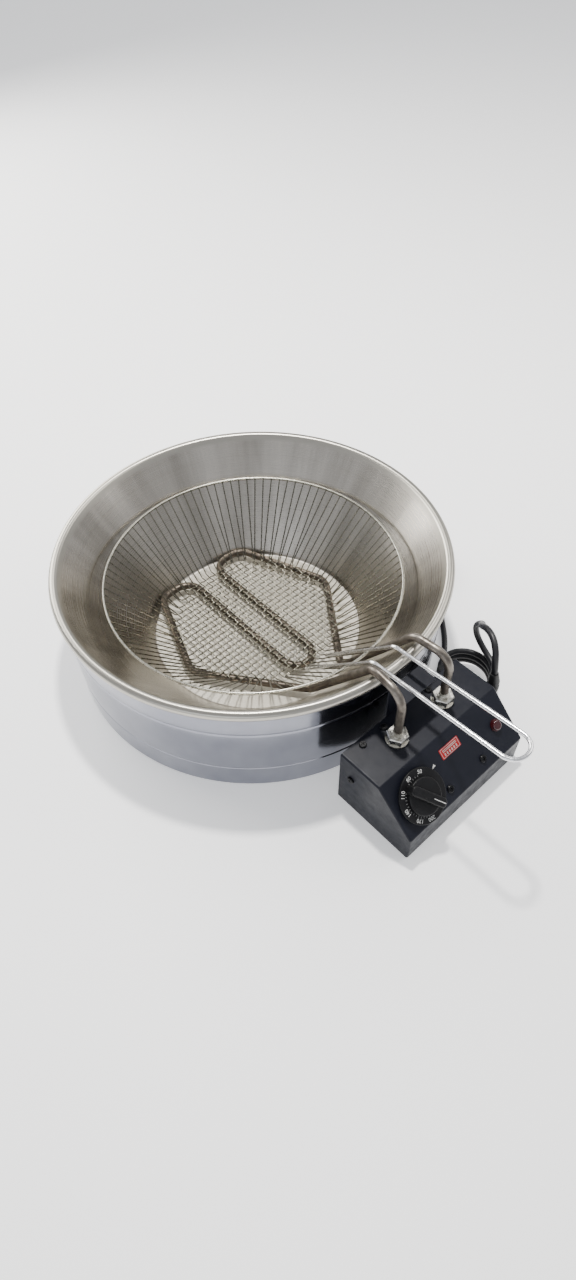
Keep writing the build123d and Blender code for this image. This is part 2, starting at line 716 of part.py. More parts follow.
def main():
    os.makedirs("parts", exist_ok=True)
    places = fitting_places()

    save("pan", make_pan())
    save("skirt", make_skirt())

    save("heating_element", make_element())
    save("element_fittings", *[make_fitting(place) for place in places])
    save("element_washers", *[make_washer(place) for place in places])
    save("element_nuts", *[make_outer_nut(place) for place in places])
    save("element_lock_nuts", *[make_lock_nut(place) for place in places])
    save("element_terminals", *[make_terminal(place) for place in places])

    save("box_cover", make_cover())
    save("box_base", make_base())
    save("top_screws", *[make_screw(plane, 8) for plane in top_screw_planes()])
    save("side_screws", *[make_screw(side_plane(side), 8) for side in (-1, 1)])
    save("panel_screws", *[make_screw(panel_at(place), 11) for place in PANEL_SCREWS_AT])
    save("lifting_bracket", make_bracket())
    save("bracket_screws", *[make_screw(plane, 8) for plane in bracket_screw_planes()])

    save("thermostat", make_thermostat())
    save("thermostat_screws", *[make_screw(plane, 8) for plane in thermostat_screw_planes()])
    save("capillary_tube", make_capillary())
    save("sensing_bulb", make_bulb())
    save("bulb_clip", make_bulb_clip())
    save("knob", make_knob())
    save("knob_shaft", make_shaft())
    save("pilot_lens", make_lens())
    save("pilot_lamp_body", make_lamp_body())
    save("pilot_lamp_nut", make_lamp_nut())
    save("label_plate", make_label())

    save("terminal_block", make_terminal_block())
    save("terminal_screws", *make_terminal_screws())
    save("earth_screw", make_screw(Plane(origin=(*EARTH_SCREW, BOX_SHEET)), 1.1))
    for node in WIRE_ROUTES:
        save(node, *wire_group(node))

    along_x, along_y = make_base_wires()
    save("basket_base_wires_lower", *along_x)
    save("basket_base_wires_upper", *along_y)
    save("basket_side_wires", *make_side_wires())
    save("basket_rim", make_rim())
    save("basket_handle", make_handle())

    save("cord_gland", make_gland())
    save("gland_nut", make_gland_nut())
    save("strain_relief", make_strain_relief())
    save("power_cord", tube(CORD_ROUTE, bends(CORD_ROUTE), CORD_RADIUS, "power cord"))
    save("cord_coil", make_coil())
    save("cord_tie", make_tie())
    save("cord_tail", tube(TAIL_ROUTE, bends(TAIL_ROUTE), CORD_RADIUS, "cord tail"))
    save("plug_body", make_plug())
    save("plug_pins", *make_pins())


main()
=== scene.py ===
import math

import bmesh
import bpy
from mathutils import Matrix, Vector


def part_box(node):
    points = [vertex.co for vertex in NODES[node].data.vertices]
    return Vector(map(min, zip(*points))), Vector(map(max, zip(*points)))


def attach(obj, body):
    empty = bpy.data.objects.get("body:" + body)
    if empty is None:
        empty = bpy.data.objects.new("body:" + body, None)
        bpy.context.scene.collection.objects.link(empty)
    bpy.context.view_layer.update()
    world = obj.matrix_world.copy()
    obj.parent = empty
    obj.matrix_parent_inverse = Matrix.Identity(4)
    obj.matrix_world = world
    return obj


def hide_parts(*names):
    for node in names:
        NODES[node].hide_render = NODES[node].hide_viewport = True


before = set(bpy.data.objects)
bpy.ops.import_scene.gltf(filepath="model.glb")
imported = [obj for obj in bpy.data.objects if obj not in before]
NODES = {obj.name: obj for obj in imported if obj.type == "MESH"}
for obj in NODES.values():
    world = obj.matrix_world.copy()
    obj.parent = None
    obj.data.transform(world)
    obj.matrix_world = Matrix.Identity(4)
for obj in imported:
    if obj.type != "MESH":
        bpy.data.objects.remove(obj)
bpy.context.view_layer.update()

# Sizes are in metres. The pan's axis stands at X = AXIS_X, and +X points to the control box.
MM = 0.001
PAN_LOW, PAN_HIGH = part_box("pan")
AXIS_X = (PAN_LOW.x + PAN_HIGH.x) / 2
RIM_RADIUS = (PAN_HIGH.x - PAN_LOW.x) / 2
BEAD_RADIUS = 5 * MM
BEAD_END = math.radians(-50)
FLOOR_RADIUS = 111.9 * MM
FLOOR_MIDDLE = 60 * MM
FLOOR_TOP = 8.6 * MM
FLOOR_BEND = 4 * MM
PAN_SHEET = 1.5 * MM
SKIRT_BOTTOM_RADIUS = 192.2 * MM
SKIRT_TOP_RADIUS = 195.2 * MM
SKIRT_SHEET = 1 * MM
GROOVE_HEIGHTS = (29 * MM, 86 * MM)
GROOVE_HALF_WIDTH = 1.6 * MM
GROOVE_DEPTH = 0.5 * MM

BASKET_RADIUS = 88 * MM
BASKET_RIM_RADIUS = 152.5 * MM
BASKET_RIM_Z = 91.4 * MM
RIM_WIRE = 1.5 * MM
MESH_WIRE = 0.7 * MM
MESH_PITCH = 6.8 * MM
MESH_COUNT = 25
MESH_BEND = 5 * MM
HANDLE_WIRE = 2 * MM
HANDLE_Y = -5 * MM
HANDLE_HALF = 13.25 * MM
HANDLE_END_HALF = 14.35 * MM
HANDLE_REACH = 331 * MM
HANDLE_FOOT_Z = 40 * MM
HANDLE_KNEE_Z = 128 * MM
HANDLE_END_Z = 140 * MM
HANDLE_KNEE_BEND = 12 * MM
HANDLE_END_BEND = 13.75 * MM
WELD_GAP = 0.1 * MM

TUBE_RADIUS = 4 * MM
CORD_RADIUS = 3.25 * MM

# The control box's sloping panel: X down the slope, Y along the box, Z out of the panel.
CREASE = Vector((184.4, 0, 71.6)) * MM
SLOPE_DOWN = Vector((41.4, 0, -39.7)).normalized()
# Places and heights on it are in millimetres from the crease's middle and off the panel.
KNOB_AT = (30.7, -47.0)
KNOB_SKIRT_TOP = 4.82
KNOB_GRIP_TOP = 14.82
NUMBER_RADIUS = 21.2
TICK_RADIUS = 18.2
POINTER_ANGLE = 35
POINTER_RADIUS = 11
INDEX_AT = (KNOB_AT[0] - 11.4, KNOB_AT[1] + 25.5)
LABEL_AT = (16.0, 3.0)
LABEL_TOP = 0.32


# --- Camera ---

def make_camera():
    """The photographer's place: in front of the knob's end of the box, looking down into the pan."""
    data = bpy.data.cameras.new("camera")
    data.lens = 21.6
    camera = bpy.data.objects.new("camera", data)
    bpy.context.scene.collection.objects.link(camera)
    look = Vector((-0.4819, 0.4215, -0.7682))
    tilt = Matrix.Rotation(-0.0270, 4, "Z")
    turn = look.to_track_quat("-Z", "Y").to_matrix().to_4x4()
    camera.matrix_world = Matrix.Translation((0.3749, -0.3416, 0.6505)) @ turn @ tilt
    bpy.context.scene.camera = camera


# --- Materials ---

class Paint:
    """One material: a Principled shader, and short ways to add nodes to it."""

    def __init__(self, name, colour, metallic=0.0, roughness=0.5, **settings):
        self.material = bpy.data.materials.new(name)
        self.material.use_nodes = True
        self.nodes = self.material.node_tree.nodes
        self.links = self.material.node_tree.links
        self.shader = self.nodes["Principled BSDF"]
        self.shader.inputs["Base Color"].default_value = (*colour, 1)
        self.shader.inputs["Metallic"].default_value = metallic
        self.shader.inputs["Roughness"].default_value = roughness
        for socket, value in settings.items():
            self.shader.inputs[socket.replace("_", " ")].default_value = value
        self.place = self.add("ShaderNodeTexCoord").outputs["Object"]

    def add(self, kind, **properties):
        node = self.nodes.new(kind)
        for key, value in properties.items():
            setattr(node, key, value)
        return node

    def put(self, socket, value):
        """Link an output to a socket, or set the socket's own value."""
        if isinstance(value, bpy.types.NodeSocket):
            self.links.new(value, socket)
        else:
            socket.default_value = value

    def math(self, operation, first, second=0.0):
        node = self.add("ShaderNodeMath", operation=operation)
        self.put(node.inputs[0], first)
        self.put(node.inputs[1], second)
        return node.outputs[0]

    def join(self, x, y, z):
        node = self.add("ShaderNodeCombineXYZ")
        for socket, value in zip(node.inputs, (x, y, z)):
            self.put(socket, value)
        return node.outputs[0]

    def split(self, vector):
        node = self.add("ShaderNodeSeparateXYZ")
        self.put(node.inputs[0], vector)
        return node.outputs

    def around(self):
        """Distance from the pan's axis, the direction from it as two numbers, and the height."""
        x, y, z = self.split(self.place)
        x = self.math("SUBTRACT", x, AXIS_X)
        squares = self.math("ADD", self.math("MULTIPLY", x, x), self.math("MULTIPLY", y, y))
        radius = self.math("SQRT", self.math("MAXIMUM", squares, 1e-8))
        return radius, self.math("DIVIDE", x, radius), self.math("DIVIDE", y, radius), z

    def noise(self, scale, detail=4.0, place=None, roughness=0.6):
        node = self.add("ShaderNodeTexNoise")
        self.put(node.inputs["Vector"], self.place if place is None else place)
        node.inputs["Scale"].default_value = scale
        node.inputs["Detail"].default_value = detail
        node.inputs["Roughness"].default_value = roughness
        return node.outputs["Fac"]

    def ramp(self, value, *stops):
        """Stops are (position, grey level or colour)."""
        node = self.add("ShaderNodeValToRGB")
        self.put(node.inputs[0], value)
        elements = node.color_ramp.elements
        while len(elements) < len(stops):
            elements.new(0.5)
        for element, (position, colour) in zip(elements, stops):
            element.position = position
            grey = isinstance(colour, (int, float))
            element.color = (colour, colour, colour, 1) if grey else (*colour, 1)
        return node.outputs[0]

    def span(self, value, low, high, new_low=0.0, new_high=1.0):
        node = self.add("ShaderNodeMapRange")
        self.put(node.inputs[0], value)
        for socket, number in zip(node.inputs[1:5], (low, high, new_low, new_high)):
            socket.default_value = number
        return node.outputs[0]

    def mix(self, factor, first, second):
        node = self.add("ShaderNodeMix", data_type="RGBA")
        self.put(node.inputs[0], factor)
        for socket, value in ((node.inputs[6], first), (node.inputs[7], second)):
            self.put(socket, (*value, 1) if isinstance(value, tuple) else value)
        return node.outputs[2]

    def mottle(self, scale, detail, edges, most, first, second):
        """The first colour, turning up to this far into the second where a noise is strong."""
        low, high = edges
        return self.mix(self.span(self.noise(scale, detail), low, high, 0.0, most), first, second)

    def uneven(self, scale, detail, low, high):
        """Roughness that wanders between two values."""
        self.rough(self.span(self.noise(scale, detail), 0.3, 0.7, low, high))

    def colour(self, value):
        self.put(self.shader.inputs["Base Color"], value)

    def rough(self, value):
        self.put(self.shader.inputs["Roughness"], value)

    def bump(self, height, strength, distance=0.0002):
        node = self.add("ShaderNodeBump")
        node.inputs["Strength"].default_value = strength
        node.inputs["Distance"].default_value = distance
        self.put(node.inputs["Height"], height)
        if self.shader.inputs["Normal"].links:
            self.put(node.inputs["Normal"], self.shader.inputs["Normal"].links[0].from_socket)
        self.put(self.shader.inputs["Normal"], node.outputs[0])

    def spin_tangent(self):
        """Turned grooves run round the upright axis, so gloss spreads across them."""
        node = self.add("ShaderNodeTangent", direction_type="RADIAL", axis="Z")
        self.put(self.shader.inputs["Tangent"], node.outputs[0])


def shade(colour, factor, lift=0.0):
    """A darker or lighter tone of a colour."""
    return tuple(part * factor + lift for part in colour)


def spun_inside():
    """The pan's inside: a warm spun wall with painted reflection streaks fanning round it, a pale matt floor
    and a softly polished rim.
    """
    paint = Paint("spun_aluminium_inside", (0.5, 0.47, 0.43), 1.0, 0.3, Anisotropic=0.7)
    radius, east, north, height = paint.around()
    turned = paint.noise(1.0, 3.0, paint.join(paint.math("MULTIPLY", radius, 1500), 0.0, 0.0))
    rings = paint.noise(1.0, 4.0, paint.join(paint.math("MULTIPLY", radius, 260), 0.0, 0.0))
    # Reflection fans: light and dark bands round the axis, a painted reflection put into the wall's colour.
    reflection_fans = paint.noise(3.4, 5.0, paint.join(east, north, paint.math("MULTIPLY", radius, 1.2)))
    cloud = paint.noise(11.0, 5.0)
    wall = paint.mix(paint.ramp(reflection_fans, (0.34, 0.0), (0.62, 1.0)), (0.26, 0.24, 0.21), (0.58, 0.545, 0.49))
    wall = paint.mix(paint.span(cloud, 0.38, 0.68, 0.0, 0.35), wall, (0.34, 0.31, 0.26))
    wall = paint.mix(paint.span(rings, 0.3, 0.75, 0.0, 0.14), wall, (0.66, 0.63, 0.58))
    grains = paint.ramp(paint.noise(1300.0, 2.0), (0.38, (0.49, 0.46, 0.385)), (0.60, (0.72, 0.69, 0.61)))
    stain = paint.span(paint.noise(22.0, 5.0), 0.42, 0.68, 0.0, 0.45)
    floor = paint.mix(stain, grains, (0.50, 0.46, 0.37))
    on_floor = paint.span(radius, FLOOR_RADIUS + 0.4 * MM, FLOOR_RADIUS - 2 * MM)
    on_rim = paint.span(height, PAN_HIGH.z - 7 * MM, PAN_HIGH.z - 4 * MM)
    colour = paint.mix(on_floor, wall, floor)
    paint.colour(paint.mix(on_rim, colour, (0.43, 0.41, 0.36)))
    wall_rough = paint.span(turned, 0.3, 0.7, 0.22, 0.36)
    rough = paint.mix(on_floor, wall_rough, (0.7, 0.7, 0.7))
    paint.rough(paint.mix(on_rim, rough, (0.32, 0.32, 0.32)))
    paint.put(paint.shader.inputs["Metallic"], paint.span(on_floor, 0.0, 1.0, 1.0, 0.25))
    paint.bump(turned, 0.12, 0.0001)
    grain_height = paint.math("MULTIPLY", paint.noise(1600.0, 2.0), on_floor)
    paint.bump(grain_height, 0.35, 0.0003)
    paint.spin_tangent()
    return paint.material


def spun_outside():
    """The skirt: spun aluminium tinted blue-grey as a painted reflection of the room, with fine lines round
    it and faint upright painted shading.
    """
    paint = Paint("spun_aluminium_outside", (0.40, 0.41, 0.47), 1.0, 0.15, Anisotropic=0.2)
    east, north, height = paint.around()[1:]
    lines = paint.noise(1.0, 4.0, paint.join(0.0, 0.0, paint.math("MULTIPLY", height, 2600)))
    bands = paint.noise(3.0, 3.0, paint.join(east, north, paint.math("MULTIPLY", height, 4)))
    smear = paint.noise(25.0, 4.0, paint.join(east, north, paint.math("MULTIPLY", height, 30)))
    # Blue-grey tones in upright bands: a painted reflection of a bluish room, and painted shading.
    tone = paint.mix(paint.ramp(bands, (0.3, 0.0), (0.7, 1.0)), (0.205, 0.212, 0.255), (0.315, 0.322, 0.362))
    tone = paint.mix(paint.span(lines, 0.2, 0.8, 0.0, 0.18), tone, (0.24, 0.25, 0.29))
    paint.colour(tone)
    paint.rough(paint.span(smear, 0.3, 0.7, 0.1, 0.2))
    paint.bump(lines, 0.1, 0.0001)
    paint.spin_tangent()
    return paint.material


def plated_wire(name, colour, roughness):
    """Nickel-plated wire: small tone changes along it and dull spots."""
    paint = Paint(name, colour, 1.0, roughness)
    paint.colour(paint.mottle(220.0, 3.0, (0.35, 0.7), 0.5, colour, shade(colour, 0.72)))
    paint.uneven(600.0, 2.0, roughness - 0.08, roughness + 0.1)
    paint.bump(paint.noise(1800.0, 2.0), 0.08, 0.0001)
    return paint.material


def heated_steel():
    """Sheath of the element: dark where it fries, browner and lighter towards the box."""
    paint = Paint("heated_sheath", (0.2, 0.16, 0.13), 0.9, 0.4)
    edges = (0.35, 0.65)
    outside = paint.span(paint.split(paint.place)[2], 60 * MM, 118 * MM)
    dark = paint.mottle(60.0, 4.0, edges, 1.0, (0.05, 0.042, 0.034), (0.12, 0.10, 0.078))
    light = paint.mottle(90.0, 4.0, edges, 1.0, (0.085, 0.072, 0.06), (0.21, 0.19, 0.165))
    paint.colour(paint.mix(outside, dark, light))
    paint.uneven(400.0, 3.0, 0.28, 0.5)
    paint.bump(paint.noise(900.0, 3.0), 0.2, 0.0002)
    return paint.material


def zinc():
    """Zinc-plated nuts and fittings, with duller patches."""
    paint = Paint("zinc_plate", (0.62, 0.60, 0.54), 1.0, 0.3)
    paint.colour(paint.mottle(260.0, 3.0, (0.4, 0.65), 1.0, (0.70, 0.69, 0.64), (0.44, 0.42, 0.37)))
    paint.uneven(500.0, 3.0, 0.2, 0.42)
    paint.bump(paint.noise(1100.0, 3.0), 0.25, 0.0002)
    return paint.material


def powder_coat(name, colour, roughness=0.42):
    """Black powder coat: fine orange peel, a faint blue-grey cast and dust."""
    paint = Paint(name, colour, 0.0, roughness, Specular_IOR_Level=0.16)
    paint.colour(paint.mottle(45.0, 6.0, (0.45, 0.75), 0.25, colour, shade(colour, 1.8, 0.002)))
    paint.uneven(120.0, 4.0, roughness - 0.06, roughness + 0.1)
    paint.bump(paint.noise(1500.0, 3.0), 0.2, 0.0002)
    paint.bump(paint.noise(260.0, 2.0), 0.06, 0.0004)
    return paint.material


def plastic(name, colour, roughness=0.4, grain=1800.0, depth=0.15, **settings):
    """Moulded plastic, rubber, sleeve or ceramic, by its grain and settings."""
    paint = Paint(name, colour, 0.0, roughness, **settings)
    paint.colour(paint.mottle(80.0, 4.0, (0.35, 0.75), 0.4, colour, shade(colour, 1.5, 0.003)))
    paint.uneven(300.0, 3.0, roughness - 0.05, roughness + 0.08)
    paint.bump(paint.noise(grain, 2.0), depth, 0.0002)
    return paint.material


def metal(name, colour, roughness=0.35):
    """Bare metal with patches of a darker tone."""
    paint = Paint(name, colour, 1.0, roughness)
    paint.colour(paint.mottle(150.0, 3.0, (0.35, 0.7), 0.6, colour, shade(colour, 0.7)))
    paint.bump(paint.noise(900.0, 3.0), 0.15, 0.0002)
    return paint.material


def lens_plastic():
    """Dark red glossy plastic of the unlit lamp."""
    glass = {"Transmission_Weight": 0.1, "Coat_Weight": 0.4, "IOR": 1.49}
    paint = Paint("ruby_lens", (0.035, 0.002, 0.004), 0.0, 0.16, **glass)
    paint.bump(paint.noise(700.0, 1.0), 0.1, 0.0002)
    return paint.material


def print_ink(name, colour):
    """Printing ink, worn in fine spots."""
    paint = Paint(name, colour, 0.0, 0.5)
    paint.colour(paint.mottle(1500.0, 2.0, (0.45, 0.7), 0.5, colour, shade(colour, 0.6)))
    return paint.material


# --- Shapes ---

def link(name, data, body, material, slot, *nodes, place=None):
    """Put a piece in the scene, riding on a body and standing for CAD nodes."""
    piece = bpy.data.objects.new(name, data)
    bpy.context.scene.collection.objects.link(piece)
    if place is not None:
        piece.matrix_world = place
    piece.data.materials.append(material)
    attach(piece, body)
    if nodes:
        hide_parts(*nodes)
    return piece


def arc(centre, radius, start, end, steps):
    """Points of an arc in a plane, ends included."""
    angles = [start + (end - start) * step / steps for step in range(steps + 1)]
    return [(centre[0] + radius * math.cos(a), centre[1] + radius * math.sin(a)) for a in angles]


def revolve(name, profile, segments=288):
    """A closed outline of (radius, height) points turned about the pan's axis."""
    mesh = bpy.data.meshes.new(name)
    corners = []
    for step in range(segments):
        angle = 2 * math.pi * step / segments
        for radius, height in profile:
            corners.append((AXIS_X + radius * math.cos(angle), radius * math.sin(angle), height))
    count = len(profile)
    faces = []
    for step in range(segments):
        here = step * count
        there = (step + 1) % segments * count
        for k in range(count):
            after = (k + 1) % count
            faces.append((here + k, there + k, there + after, here + after))
    mesh.from_pydata(corners, [], faces)
    mesh.update()
    return mesh


def clean(mesh):
    """Weld the points on the axis and give every face its outward side."""
    work = bmesh.new()
    work.from_mesh(mesh)
    bmesh.ops.remove_doubles(work, verts=work.verts, dist=1e-6)
    bmesh.ops.recalc_face_normals(work, faces=work.faces)
    work.to_mesh(mesh)
    work.free()
    mesh.shade_smooth()
    return mesh


def wire_curve(name, radius, sides=4):
    """An empty curve whose splines get a round section."""
    curve = bpy.data.curves.new(name, "CURVE")
    curve.dimensions = "3D"
    curve.bevel_depth = radius
    curve.bevel_resolution = sides
    curve.use_fill_caps = True
    return curve


def add_wire(curve, points, closed=False):
    spline = curve.splines.new("POLY")
    spline.points.add(len(points) - 1)
    for target, point in zip(spline.points, points):
        target.co = (*point, 1)
    spline.use_cyclic_u = closed
    spline.use_smooth = True


def bent(points, radii, steps=10):
    """A metal wire's path: straight runs with round bends at the inner points."""
    points = [Vector(point) for point in points]
    path = [points[0]]
    for before, here, after, radius in zip(points, points[1:], points[2:], radii):
        back = (before - here).normalized()
        ahead = (after - here).normalized()
        half = back.angle(ahead) / 2
        centre = here + (back + ahead).normalized() * radius / math.sin(half)
        start = here + back * radius / math.tan(half) - centre
        end = here + ahead * radius / math.tan(half) - centre
        for step in range(steps + 1):
            path.append(centre + radius * start.slerp(end, step / steps).normalized())
    path.append(points[-1])
    return path


def on_panel(place, height=0.0):
    """A point of the sloping panel, from millimetres down the slope and along the box."""
    out = SLOPE_DOWN.cross(Vector((0, 1, 0)))
    return CREASE + SLOPE_DOWN * place[0] * MM + Vector((0, place[1], 0)) * MM + out * height * MM


def panel_matrix(place, height, turn=0.0):
    """On the panel, with local X down the slope before the turn about its normal."""
    across = Vector((0, 1, 0))
    out = SLOPE_DOWN.cross(across)
    axes = Matrix((SLOPE_DOWN, across, out)).transposed().to_4x4()
    return Matrix.Translation(on_panel(place, height)) @ axes @ Matrix.Rotation(turn, 4, "Z")


# --- Supply cord ---

# The coil's first and last points stand between the two routes.
CORD_ROUTE = [
    (0.1735, 0.0935, 0.0675), (0.1712, 0.0937, 0.0816), (0.1652, 0.0989, 0.0917), (0.1552, 0.1058, 0.0963),
    (0.1437, 0.1115, 0.0941), (0.1352, 0.1169, 0.0857), (0.1309, 0.1276, 0.0771), (0.1207, 0.1338, 0.0627),
    (0.1204, 0.1370, 0.0483), (0.1271, 0.1381, 0.0365), (0.1387, 0.1364, 0.0295),
]
TAIL_ROUTE = [
    (0.1038, 0.1154, 0.0036), (0.0868, 0.1380, 0.0033), (0.0659, 0.1578, 0.0033), (0.0450, 0.1750, 0.0046),
    (0.0260, 0.1940, 0.0090),
]
COIL_CENTRE = (0.1371, 0.1082)
COIL_RADIUS = 26 * MM
COIL_TOP = 27.45 * MM
TIE_THICKNESS = 0.8 * MM
COIL_START = math.radians(64)
COIL_TURNS = 3.6
POINTS_PER_TURN = 15


def coil_points():
    """Turns lying one on another, each a little off the one below."""
    count = round(COIL_TURNS * POINTS_PER_TURN)
    points = []
    for step in range(count + 1):
        share = step / count
        angle = COIL_START - 2 * math.pi * COIL_TURNS * share
        drift = 1 + 0.016 * math.sin(1.37 * angle)
        spread = COIL_RADIUS * drift / math.cos(math.pi / POINTS_PER_TURN) ** 2
        x = COIL_CENTRE[0] + spread * math.cos(angle)
        y = COIL_CENTRE[1] + spread * math.sin(angle)
        points.append((x, y, COIL_TOP - share * (COIL_TOP - CORD_RADIUS - TIE_THICKNESS)))
    return points


def make_cord():
    """One cord: the loop over the box, the coil and the tail that ends in the plug."""
    route = CORD_ROUTE + coil_points() + TAIL_ROUTE
    curve = wire_curve("supply_cord", CORD_RADIUS, 6)
    curve.resolution_u = 10
    spline = curve.splines.new("NURBS")
    spline.points.add(len(route) - 1)
    for target, point in zip(spline.points, route):
        target.co = (*point, 1)
    spline.order_u = 3
    spline.use_endpoint_u = True
    rubber = plastic("cord_rubber", (0.009, 0.009, 0.011), 0.4, 2200.0, 0.2, Specular_IOR_Level=0.35)
    stands_for = ("power_cord", "cord_coil", "cord_tail")
    cord = link("supply_cord", curve, "heater_unit", rubber, "power_cord", *stands_for)


# --- Pan and skirt ---

def make_pan():
    """Flat floor, a bend, a straight wall at a slant and a rolled bead round the rim."""
    centre = (RIM_RADIUS - BEAD_RADIUS, PAN_HIGH.z - BEAD_RADIUS)
    across, up = centre[0] - FLOOR_RADIUS, centre[1] - FLOOR_TOP
    slope = math.atan2(up, across) + math.asin(BEAD_RADIUS / math.hypot(across, up))
    start = slope + math.pi / 2
    bend_run = FLOOR_BEND * math.tan(slope / 2)
    bend_centre = (FLOOR_RADIUS - bend_run, FLOOR_TOP + FLOOR_BEND)
    down = -math.pi / 2
    floor = [(0.0, FLOOR_TOP), (FLOOR_MIDDLE, FLOOR_TOP)]
    inside = arc(bend_centre, FLOOR_BEND, down, down + slope, 8)
    over = arc(centre, BEAD_RADIUS, start, BEAD_END, 28)
    under = arc(centre, BEAD_RADIUS - PAN_SHEET, BEAD_END, start, 20)
    outside = arc(bend_centre, FLOOR_BEND + PAN_SHEET, down + slope, down, 8)
    below = [(radius, height - PAN_SHEET) for radius, height in floor[::-1]]
    profile = floor + inside + over + under + outside + below
    link("pan_shell", clean(revolve("pan_shell", profile)), "bowl", spun_inside(), "pan", "pan")


def make_skirt():
    """Nearly upright sheet wall with a rounded groove pressed in at each groove height."""
    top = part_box("skirt")[1].z
    widening = (SKIRT_TOP_RADIUS - SKIRT_BOTTOM_RADIUS) / top

    def side(inset):
        points = []
        for height in GROOVE_HEIGHTS:
            for step in range(-8, 9):
                share = step / 4
                z = height + share * GROOVE_HALF_WIDTH
                dip = GROOVE_DEPTH * math.exp(-2.2 * share ** 2)
                points.append((SKIRT_BOTTOM_RADIUS + widening * z - dip - inset, z))
        low = (SKIRT_BOTTOM_RADIUS - inset, 0.0)
        high = (SKIRT_TOP_RADIUS - inset, top)
        return [low, (low[0], 0.6 * MM)] + points + [(high[0], top - 0.6 * MM), high]

    profile = side(0.0) + side(SKIRT_SHEET)[::-1]
    link("skirt_shell", clean(revolve("skirt_shell", profile)), "bowl", spun_outside(), "skirt", "skirt")


# --- Heating element ---

# Half of the tube's route, from the box to the hairpin, and its bend radii, in millimetres
# from the pan's axis, the middle of the object and the worktop.
ARCH_Z = 133
FRYING_Z = 18
ELEMENT_HALF = [
    (228, 30.5, 46), (228, 30.5, ARCH_Z), (189.2, 26.5, ARCH_Z), (108.4, 22, FRYING_Z),
    (8, 97, FRYING_Z), (-98, 57, FRYING_Z), (-98, 17, FRYING_Z), (80, 17, FRYING_Z),
]
ELEMENT_BENDS = [17.0, 15.0, 16.0, 22.0, 18.0, 19.0, 16.5]


def make_element():
    """One bent tube, its legs going over the rim into the box."""
    def half(side):
        return [(AXIS_X + x * MM, side * y * MM, z * MM) for x, y, z in ELEMENT_HALF]

    radii = [radius * MM for radius in ELEMENT_BENDS + ELEMENT_BENDS[::-1]]
    curve = wire_curve("element_tube", TUBE_RADIUS, 7)
    add_wire(curve, bent(half(-1) + half(1)[::-1], radii, 14))
    link("element_tube", curve, "heater_unit", heated_steel(), "heating_element", "heating_element")


# --- Basket ---

LOWER_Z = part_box("basket_base_wires_lower")[0].z + MESH_WIRE
UPPER_Z = LOWER_Z + 2 * MESH_WIRE
SIDE_SLOPE = math.atan2(BASKET_RIM_Z - LOWER_Z, BASKET_RIM_RADIUS - BASKET_RADIUS)


def mesh_ends():
    """For every base wire, the place on the rim that each of its two ends goes to."""
    middle = (MESH_COUNT - 1) / 2
    offsets = [(number - middle) * MESH_PITCH for number in range(MESH_COUNT)]
    ends = []
    for number, offset in enumerate(offsets):
        half = math.sqrt(BASKET_RADIUS ** 2 - offset ** 2)
        for sign in (-1, 1):
            ends.append((math.atan2(offset, sign * half), ("x", number, sign)))
            ends.append((math.atan2(sign * half, offset), ("y", number, sign)))
    ends.sort()
    heads = {}
    for order, (_, key) in enumerate(ends):
        heads[key] = -math.pi + (order + 0.5) * 2 * math.pi / len(ends)
    return offsets, heads


def head_point(angle):
    """Where a side wire meets the inside of the rim wire."""
    apart = RIM_WIRE + MESH_WIRE
    radius = BASKET_RIM_RADIUS - apart * math.sin(SIDE_SLOPE)
    height = BASKET_RIM_Z + apart * math.cos(SIDE_SLOPE)
    return Vector((AXIS_X + radius * math.cos(angle), radius * math.sin(angle), height))


def mesh_wire(family, number, offsets, heads):
    """One wire: down from the rim, woven across the base and up to the rim."""
    offset = offsets[number]
    half = math.sqrt(BASKET_RADIUS ** 2 - offset ** 2)
    level = (LOWER_Z + UPPER_Z) / 2

    def at(along, height):
        x, y = (along, offset) if family == "x" else (offset, along)
        return Vector((AXIS_X + x, y, height))

    lift = 1 if family == "x" else -1
    wave = []
    for other, along in enumerate(offsets):
        if abs(along) < half - 0.6 * MESH_PITCH:
            over = lift * (1 if (other + number) % 2 else -1)
            wave.append((along, over))
    path = [head_point(heads[(family, number, -1)])]
    ends = [bent([path[0], at(-half, level), at(0.0, level)], [MESH_BEND], 6)[1:-1]]
    steps = 4
    for (first, over), (second, after) in zip(wave, wave[1:]):
        for step in range(steps):
            share = step / steps
            swing = over + (after - over) * (1 - math.cos(math.pi * share)) / 2
            ends.append([at(first + (second - first) * share, level + swing * MESH_WIRE)])
    ends.append([at(wave[-1][0], level + wave[-1][1] * MESH_WIRE)])
    last = head_point(heads[(family, number, 1)])
    ends.append(bent([at(0.0, level), at(half, level), last], [MESH_BEND], 6)[1:-1])
    return path + [point for group in ends for point in group] + [last]


